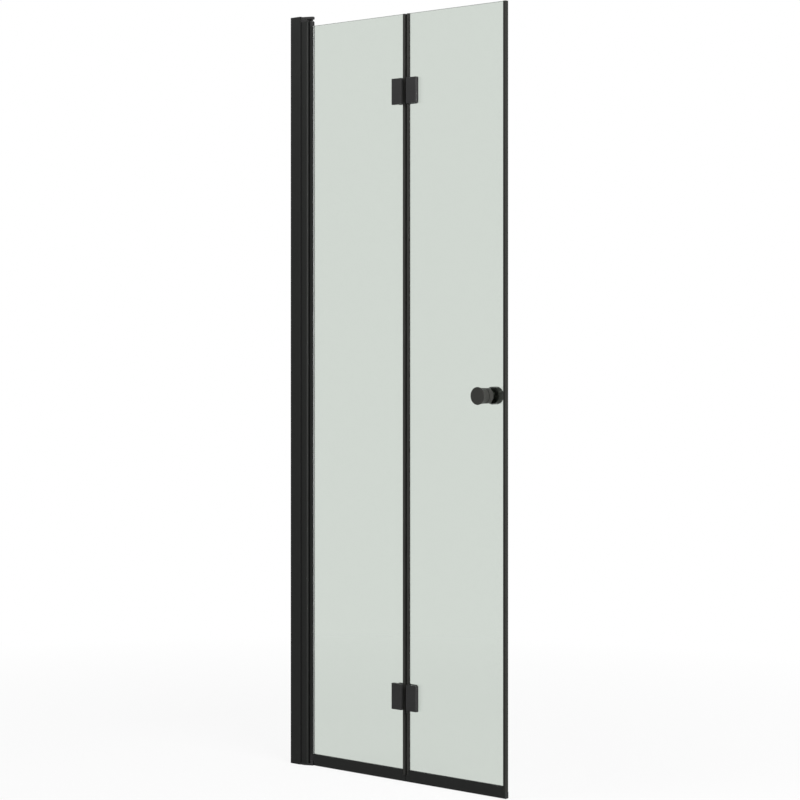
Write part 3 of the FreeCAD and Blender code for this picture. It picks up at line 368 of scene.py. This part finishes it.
def clear_soft_vinyl(looks):
    # Soft clear PVC: lets light through but blurs it, a little milky.
    material, tree, shader = new_material("clear_soft_vinyl")
    set_shader(shader, Base_Color=(*looks.gasket, 1), Transmission_Weight=0.75, IOR=1.5)
    place = add_node(tree, "ShaderNodeTexCoord", {}).outputs["Object"]
    cloud = add_node(
        tree, "ShaderNodeTexNoise", {"Scale": grain_scale(15 * MM), "Detail": 2.0}, Vector=place
    )
    gloss = add_node(
        tree, "ShaderNodeMapRange", {"To Min": 0.25, "To Max": 0.4}, Value=cloud.outputs["Fac"]
    )
    tree.links.new(gloss.outputs["Result"], shader.inputs["Roughness"])
    return material


def finish(make, looks):
    """The finish that a function makes, made once and named like the function."""
    return bpy.data.materials.get(make.__name__) or make(looks)


def dress(material, *names):
    """Gives CAD nodes their finish."""
    for name in names:
        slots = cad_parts[name].data.materials
        slots.clear()
        slots.append(material)


def select_only(context, *pieces):
    """Selects these pieces and nothing else, with the first one active."""
    bpy.ops.object.select_all(action="DESELECT")
    for piece in pieces:
        piece.select_set(True)
    context.view_layer.objects.active = pieces[0]


# Operators, one for each group of like pieces

class ProfilesOperator(bpy.types.Operator):
    """Finish the wall channel, the adjusting profile, the pivot bead and the bottom rails."""

    bl_idname = "shower_door.profiles"
    bl_label = "Finish Profiles"

    def execute(self, context):
        looks = context.scene.shower_door_finishes
        dress(
            finish(powder_coated_aluminium, looks),
            "wall_channel", "adjusting_profile", "pivot_profile",
            "wall_leaf_bottom_rail", "door_leaf_bottom_rail",
        )
        return {"FINISHED"}


class ChannelSealsOperator(bpy.types.Operator):
    """Lay a rubber bead along the channel's lip, against each side of the adjusting profile: painted
    shade, a dark strip that stands for the shadow in the seam, shaped as the sealing bead that such doors
    have.
    """

    bl_idname = "shower_door.channel_seals"
    # The seals in this label are the beads that paint the seam's shadow in dark rubber.
    bl_label = "Add Channel Seals"

    def execute(self, context):
        looks = context.scene.shower_door_finishes
        rubber = finish(soft_black_rubber, looks)
        width, thickness = looks.seal_width, looks.seal_thickness
        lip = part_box("wall_channel")[1][0]
        low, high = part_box("adjusting_profile")
        bottom, top = low[2] + thickness, high[2] - thickness
        # Each bead is painted shade: dark rubber laid where the seam between channel and profile is in
        # shadow.
        for name, face, side in (("channel_shadow_bead_front", low[1], -1), ("channel_shadow_bead_rear", high[1], 1)):
            bpy.ops.object.select_all(action="DESELECT")
            bpy.ops.mesh.primitive_cube_add(
                size=1,
                location=(lip + width / 2, face + side * thickness / 2, (bottom + top) / 2),
                scale=(width, thickness, top - bottom),
            )
            shadow_bead = context.active_object
            shadow_bead.name = name
            bpy.ops.object.transform_apply(location=True, rotation=True, scale=True)
            self.round_nose(shadow_bead, lip + width, face + side * thickness, NOSE_SHARE * thickness)
            shadow_bead.data.materials.append(rubber)
            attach(shadow_bead, "wall_frame")
        return {"FINISHED"}

    def round_nose(self, shadow_bead, nose_x, nose_y, radius):
        """Rounds the upright edge that points away from the channel and the profile."""
        bpy.ops.object.mode_set(mode="EDIT")
        bpy.ops.mesh.select_mode(type="EDGE")
        bpy.ops.mesh.select_all(action="DESELECT")
        mesh = bmesh.from_edit_mesh(shadow_bead.data)
        for edge in mesh.edges:
            off = [abs(v.co.x - nose_x) + abs(v.co.y - nose_y) for v in edge.verts]
            edge.select_set(max(off) < NEAR)
        bmesh.update_edit_mesh(shadow_bead.data)
        bpy.ops.mesh.bevel(offset=radius, segments=6, affect="EDGES")
        bpy.ops.object.mode_set(mode="OBJECT")
        bpy.ops.object.shade_smooth_by_angle(angle=SHADOW_BEAD_SMOOTHING)


class PivotsOperator(bpy.types.Operator):
    """Finish the pivot blocks and the plastic caps."""

    bl_idname = "shower_door.pivots"
    bl_label = "Finish Pivot Blocks and Caps"

    def execute(self, context):
        looks = context.scene.shower_door_finishes
        dress(
            finish(moulded_black_plastic, looks),
            "channel_top_cap", "lock_screw_caps", "rail_end_cap", "top_pivot_block", "bottom_pivot_block",
        )
        return {"FINISHED"}


class GlassOperator(bpy.types.Operator):
    """Finish the panes and the clear gaskets."""

    bl_idname = "shower_door.glass"
    bl_label = "Finish Glass"

    def execute(self, context):
        looks = context.scene.shower_door_finishes
        dress(finish(toughened_float_glass, looks), "wall_leaf_glass", "door_leaf_glass")
        dress(finish(clear_soft_vinyl, looks), "pivot_gaskets")
        return {"FINISHED"}


class StripsOperator(bpy.types.Operator):
    """Finish the edge strips, the magnet, the soft seals and the pads."""

    bl_idname = "shower_door.strips"
    bl_label = "Finish Strips and Seals"

    def execute(self, context):
        looks = context.scene.shower_door_finishes
        dress(finish(extruded_black_vinyl, looks), "wall_leaf_fold_strip", "door_leaf_fold_strip")
        dress(finish(rigid_black_vinyl, looks), "closing_strip")
        dress(
            finish(soft_black_rubber, looks),
            "wall_leaf_sweep_seal", "door_leaf_sweep_seal",
            "wall_hinge_gaskets", "door_hinge_gaskets", "knob_washers",
        )
        dress(finish(magnet_rubber, looks), "magnet_strip")
        return {"FINISHED"}


class HingesOperator(bpy.types.Operator):
    """Finish the hinge plates and the fixed pivot fittings."""

    bl_idname = "shower_door.hinges"
    bl_label = "Finish Hinges"

    def execute(self, context):
        looks = context.scene.shower_door_finishes
        plates = [
            f"{level}_hinge_{leaf}_{face}_plate"
            for level in ("upper", "lower") for leaf in ("wall", "door") for face in ("front", "rear")
        ]
        dress(
            finish(satin_coated_zinc, looks),
            "top_pivot_arm", "top_pivot_pin", "bottom_pivot_bracket", *plates,
        )
        return {"FINISHED"}


class HingeScrewsOperator(bpy.types.Operator):
    """Model the hinge screws with hexagon sockets, four on each leaf."""

    bl_idname = "shower_door.hinge_screws"
    bl_label = "Model Hinge Screws"

    def execute(self, context):
        looks = context.scene.shower_door_finishes
        for leaf in ("wall", "door"):
            node = f"{leaf}_hinge_screws"
            heights = []
            for level in ("lower", "upper"):
                low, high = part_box(f"{level}_hinge_{leaf}_rear_plate")
                middle = (low[2] + high[2]) / 2
                heights += [middle - looks.screw_pitch / 2, middle + looks.screw_pitch / 2]
            screws = self.model(context, node, heights[0], looks)
            self.repeat(context, screws, heights)
            screws.name = f"{leaf}_hinge_socket_screws"
            screws.data.materials.append(finish(stainless_steel, looks))
            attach(screws, f"{leaf}_leaf")
            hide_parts(node)
        return {"FINISHED"}

    def model(self, context, node, height, looks):
        """One screw: a head with a bevelled rim, its shank, and a hexagon socket cut into the head."""
        low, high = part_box(node)
        middle = (low[0] + high[0]) / 2
        radius = (high[0] - low[0]) / 2
        top, tip = high[1], low[1]
        under = top - looks.screw_head
        bpy.ops.object.select_all(action="DESELECT")
        bpy.ops.mesh.primitive_cylinder_add(
            vertices=SCREW_SIDES, radius=radius, depth=looks.screw_head,
            location=(middle, (under + top) / 2, height), rotation=ALONG_Y,
        )
        screw = context.active_object
        bpy.ops.object.transform_apply(location=True, rotation=True, scale=True)
        bpy.ops.object.mode_set(mode="EDIT")
        bpy.ops.mesh.select_mode(type="FACE")
        self.select_face_at(screw, under)
        bpy.ops.mesh.inset(thickness=radius - looks.screw_shank / 2)
        bpy.ops.mesh.extrude_region_move(TRANSFORM_OT_translate={"value": (0, tip - under, 0)})
        self.select_face_at(screw, top)
        bpy.ops.mesh.bevel(offset=RIM_BEVEL, segments=2, affect="EDGES")
        bpy.ops.object.mode_set(mode="OBJECT")
        self.cut_socket(context, screw, (middle, top, height), looks)
        bpy.ops.object.shade_smooth_by_angle(angle=SCREW_SMOOTHING)
        return screw

    def select_face_at(self, screw, depth):
        """Selects the flat face across the screw at a place on Y."""
        bpy.ops.mesh.select_all(action="DESELECT")
        mesh = bmesh.from_edit_mesh(screw.data)
        for face in mesh.faces:
            face.select_set(all(abs(v.co.y - depth) < NEAR for v in face.verts))
        bmesh.update_edit_mesh(screw.data)

    def cut_socket(self, context, screw, place, looks):
        """Cuts the socket with a hexagon that stands half out of the head, and leaves the screw active."""
        bpy.ops.object.select_all(action="DESELECT")
        bpy.ops.mesh.primitive_cylinder_add(
            vertices=SOCKET_SIDES, radius=looks.screw_socket / math.sqrt(3), depth=2 * looks.socket_depth,
            location=place, rotation=ALONG_Y,
        )
        cutter = context.active_object
        bpy.ops.object.transform_apply(location=True, rotation=True, scale=True)
        cut = screw.modifiers.new("socket", "BOOLEAN")
        cut.operation = "DIFFERENCE"
        cut.object = cutter
        select_only(context, screw)
        bpy.ops.object.modifier_apply(modifier=cut.name)
        bpy.data.objects.remove(cutter)

    def repeat(self, context, screw, heights):
        """Joins copies of the screw, at the other heights, to it."""
        copies = []
        for height in heights[1:]:
            select_only(context, screw)
            bpy.ops.object.duplicate(linked=False)
            copies.append(context.active_object)
            bpy.ops.transform.translate(value=(0, 0, height - heights[0]))
            bpy.ops.object.transform_apply(location=True, rotation=False, scale=False)
        select_only(context, screw, *copies)
        bpy.ops.object.join()


class KnobsOperator(bpy.types.Operator):
    """Finish the knobs."""

    bl_idname = "shower_door.knobs"
    bl_label = "Finish Knobs"

    def execute(self, context):
        looks = context.scene.shower_door_finishes
        dress(finish(satin_coated_brass, looks), "front_knob", "rear_knob")
        return {"FINISHED"}


class FixingsOperator(bpy.types.Operator):
    """Finish the other screws, the pins, the stud, the bushes and the sleeves."""

    bl_idname = "shower_door.fixings"
    bl_label = "Finish Fixings"

    def execute(self, context):
        looks = context.scene.shower_door_finishes
        dress(
            finish(stainless_steel, looks),
            "profile_lock_screws", "top_arm_screws", "bottom_bracket_screws", "bottom_pivot_pin",
            "upper_hinge_pin", "lower_hinge_pin", "knob_stud",
        )
        dress(
            finish(black_acetal, looks),
            "bottom_thrust_washer", "top_pivot_bush", "bottom_pivot_bush", "hinge_bushes",
            "wall_hinge_sleeves", "door_hinge_sleeves", "knob_sleeve",
        )
        return {"FINISHED"}


# Studio

def background_share(tree, *rays):
    """1 for the kinds of ray that should see the plain background."""
    path = add_node(tree, "ShaderNodeLightPath", {})
    share = path.outputs[rays[0]]
    for ray in rays[1:]:
        either = add_node(tree, "ShaderNodeMath", {"operation": "MAXIMUM"}, share, path.outputs[ray])
        share = either.outputs[0]
    return share


def studio_floor(studio):
    # White paper sweep: it keeps a soft shadow and otherwise shows as the white background.
    material, tree, shader = new_material("white_paper_sweep")
    set_shader(shader, Base_Color=(*studio.paper, 1), Roughness=0.9)
    glow = add_node(tree, "ShaderNodeEmission", {"Color": (*studio.floor_colour, 1), "Strength": 1.0})
    place = add_node(tree, "ShaderNodeTexCoord", {}).outputs["Object"]
    away = add_node(tree, "ShaderNodeVectorMath", {"operation": "LENGTH"}, place)
    plain = add_node(
        tree, "ShaderNodeMapRange",
        {"From Min": SHADOW_NEAR, "From Max": SHADOW_FAR, "To Min": WHITE_NEAR, "To Max": 1.0},
        Value=away.outputs["Value"],
    )
    seen = background_share(tree, "Is Camera Ray", "Is Glossy Ray", "Is Transmission Ray")
    share = add_node(tree, "ShaderNodeMath", {"operation": "MULTIPLY"}, seen, plain.outputs["Result"])
    mix = add_node(
        tree, "ShaderNodeMixShader", {}, share.outputs[0], shader.outputs[0], glow.outputs[0]
    )
    tree.links.new(mix.outputs[0], tree.nodes["Material Output"].inputs["Surface"])
    return material


def studio_world(studio):
    """Soft light, stronger from one side; what shows through glass or is mirrored low is plain white."""
    world = bpy.data.worlds.new("studio_world")
    world.use_nodes = True
    tree = world.node_tree
    background = tree.nodes["Background"]
    background.inputs["Color"].default_value = (*studio.floor_colour, 1)
    direction = add_node(tree, "ShaderNodeTexCoord", {}).outputs["Generated"]
    toward = add_node(tree, "ShaderNodeVectorMath", {"operation": "DOT_PRODUCT"}, direction)
    toward.inputs[1].default_value = BRIGHT_SIDE
    sides = add_node(
        tree, "ShaderNodeMapRange",
        {"From Min": -1.0, "From Max": 1.0, "To Min": studio.room_light, "To Max": BRIGHT_LIGHT},
        Value=toward.outputs["Value"],
    )
    slope = add_node(tree, "ShaderNodeSeparateXYZ", {}, Vector=direction).outputs["Z"]
    horizon = add_node(
        tree, "ShaderNodeMapRange",
        {"From Min": HORIZON_LOW, "From Max": HORIZON_HIGH, "To Min": 1.0, "To Max": 0.0}, Value=slope,
    )
    mirrored = add_node(
        tree, "ShaderNodeMath", {"operation": "MULTIPLY"},
        background_share(tree, "Is Glossy Ray"), horizon.outputs["Result"],
    )
    seen = add_node(
        tree, "ShaderNodeMath", {"operation": "MAXIMUM"},
        background_share(tree, "Is Camera Ray", "Is Transmission Ray"), mirrored.outputs[0],
    )
    strength = add_node(
        tree, "ShaderNodeMapRange", {"To Max": 1.0}, Value=seen.outputs[0], To_Min=sides.outputs["Result"]
    )
    tree.links.new(strength.outputs["Result"], background.inputs["Strength"])
    return world


class StageOperator(bpy.types.Operator):
    """Set up the floor, the light and the camera."""

    bl_idname = "shower_door.stage"
    bl_label = "Set Up Studio"

    def execute(self, context):
        scene = context.scene
        studio = scene.shower_door_studio
        scene.view_settings.view_transform = "Standard"
        bpy.ops.object.select_all(action="DESELECT")
        bpy.ops.mesh.primitive_plane_add(size=studio.floor_size, location=(0, 0, -FLOOR_GAP))
        floor = context.active_object
        floor.name = "studio_floor"
        floor.data.materials.append(studio_floor(studio))
        scene.world = studio_world(studio)
        self.softbox(scene, "key_softbox", studio.key, KEY_SIZE, KEY_PLACE, KEY_TARGET)
        self.softbox(
            scene, "overhead_softbox", studio.overhead, OVERHEAD_SIZE, OVERHEAD_PLACE, OVERHEAD_TARGET
        )
        self.camera(scene, studio)
        return {"FINISHED"}

    def softbox(self, scene, name, power, size, place, target):
        """A rectangular lamp at its place, facing its target, that the camera doesn't see."""
        lamp = bpy.data.lights.new(name, "AREA")
        lamp.shape = "RECTANGLE"
        lamp.size, lamp.size_y = size
        lamp.energy = power
        box = bpy.data.objects.new(name, lamp)
        scene.collection.objects.link(box)
        box.location = place
        box.rotation_euler = (Vector(target) - Vector(place)).to_track_quat("-Z", "Y").to_euler()
        box.visible_camera = False

    def camera(self, scene, studio):
        """A level camera in front of the door, turned to its closing side."""
        data = bpy.data.cameras.new("photo_camera")
        data.lens = studio.lens
        data.sensor_width = SENSOR_WIDTH
        data.shift_y = studio.rise
        camera = bpy.data.objects.new("photo_camera", data)
        scene.collection.objects.link(camera)
        turn = studio.azimuth
        camera.location = (
            studio.aim + studio.distance * math.sin(turn),
            -studio.distance * math.cos(turn),
            studio.eye_level,
        )
        camera.rotation_euler = (math.radians(90), 0, turn)
        scene.camera = camera


class ShowerDoorPanel(bpy.types.Panel):
    """The door's finishes and studio."""

    bl_idname = "VIEW3D_PT_shower_door"
    bl_label = "Shower Door"
    bl_space_type = "VIEW_3D"
    bl_region_type = "UI"
    bl_category = "Shower Door"

    def draw(self, context):
        layout = self.layout
        for group in (context.scene.shower_door_finishes, context.scene.shower_door_studio):
            box = layout.box()
            for name in group.bl_rna.properties.keys():
                if name not in ("rna_type", "name"):
                    box.prop(group, name)
        for operator in OPERATORS:
            layout.operator(operator.bl_idname)


OPERATORS = (
    ProfilesOperator,
    ChannelSealsOperator,
    PivotsOperator,
    GlassOperator,
    StripsOperator,
    HingesOperator,
    HingeScrewsOperator,
    KnobsOperator,
    FixingsOperator,
    StageOperator,
)
CLASSES = (ShowerDoorFinishes, ShowerDoorStudio, *OPERATORS, ShowerDoorPanel)


def register():
    for cls in CLASSES:
        bpy.utils.register_class(cls)
    bpy.types.Scene.shower_door_finishes = PointerProperty(type=ShowerDoorFinishes)
    bpy.types.Scene.shower_door_studio = PointerProperty(type=ShowerDoorStudio)


def unregister():
    del bpy.types.Scene.shower_door_studio
    del bpy.types.Scene.shower_door_finishes
    for cls in reversed(CLASSES):
        bpy.utils.unregister_class(cls)


def main():
    register()
    bpy.ops.shower_door.profiles()
    bpy.ops.shower_door.channel_seals()
    bpy.ops.shower_door.pivots()
    bpy.ops.shower_door.glass()
    bpy.ops.shower_door.strips()
    bpy.ops.shower_door.hinges()
    bpy.ops.shower_door.hinge_screws()
    bpy.ops.shower_door.knobs()
    bpy.ops.shower_door.fixings()
    bpy.ops.shower_door.stage()


if __name__ == "__main__":
    main()
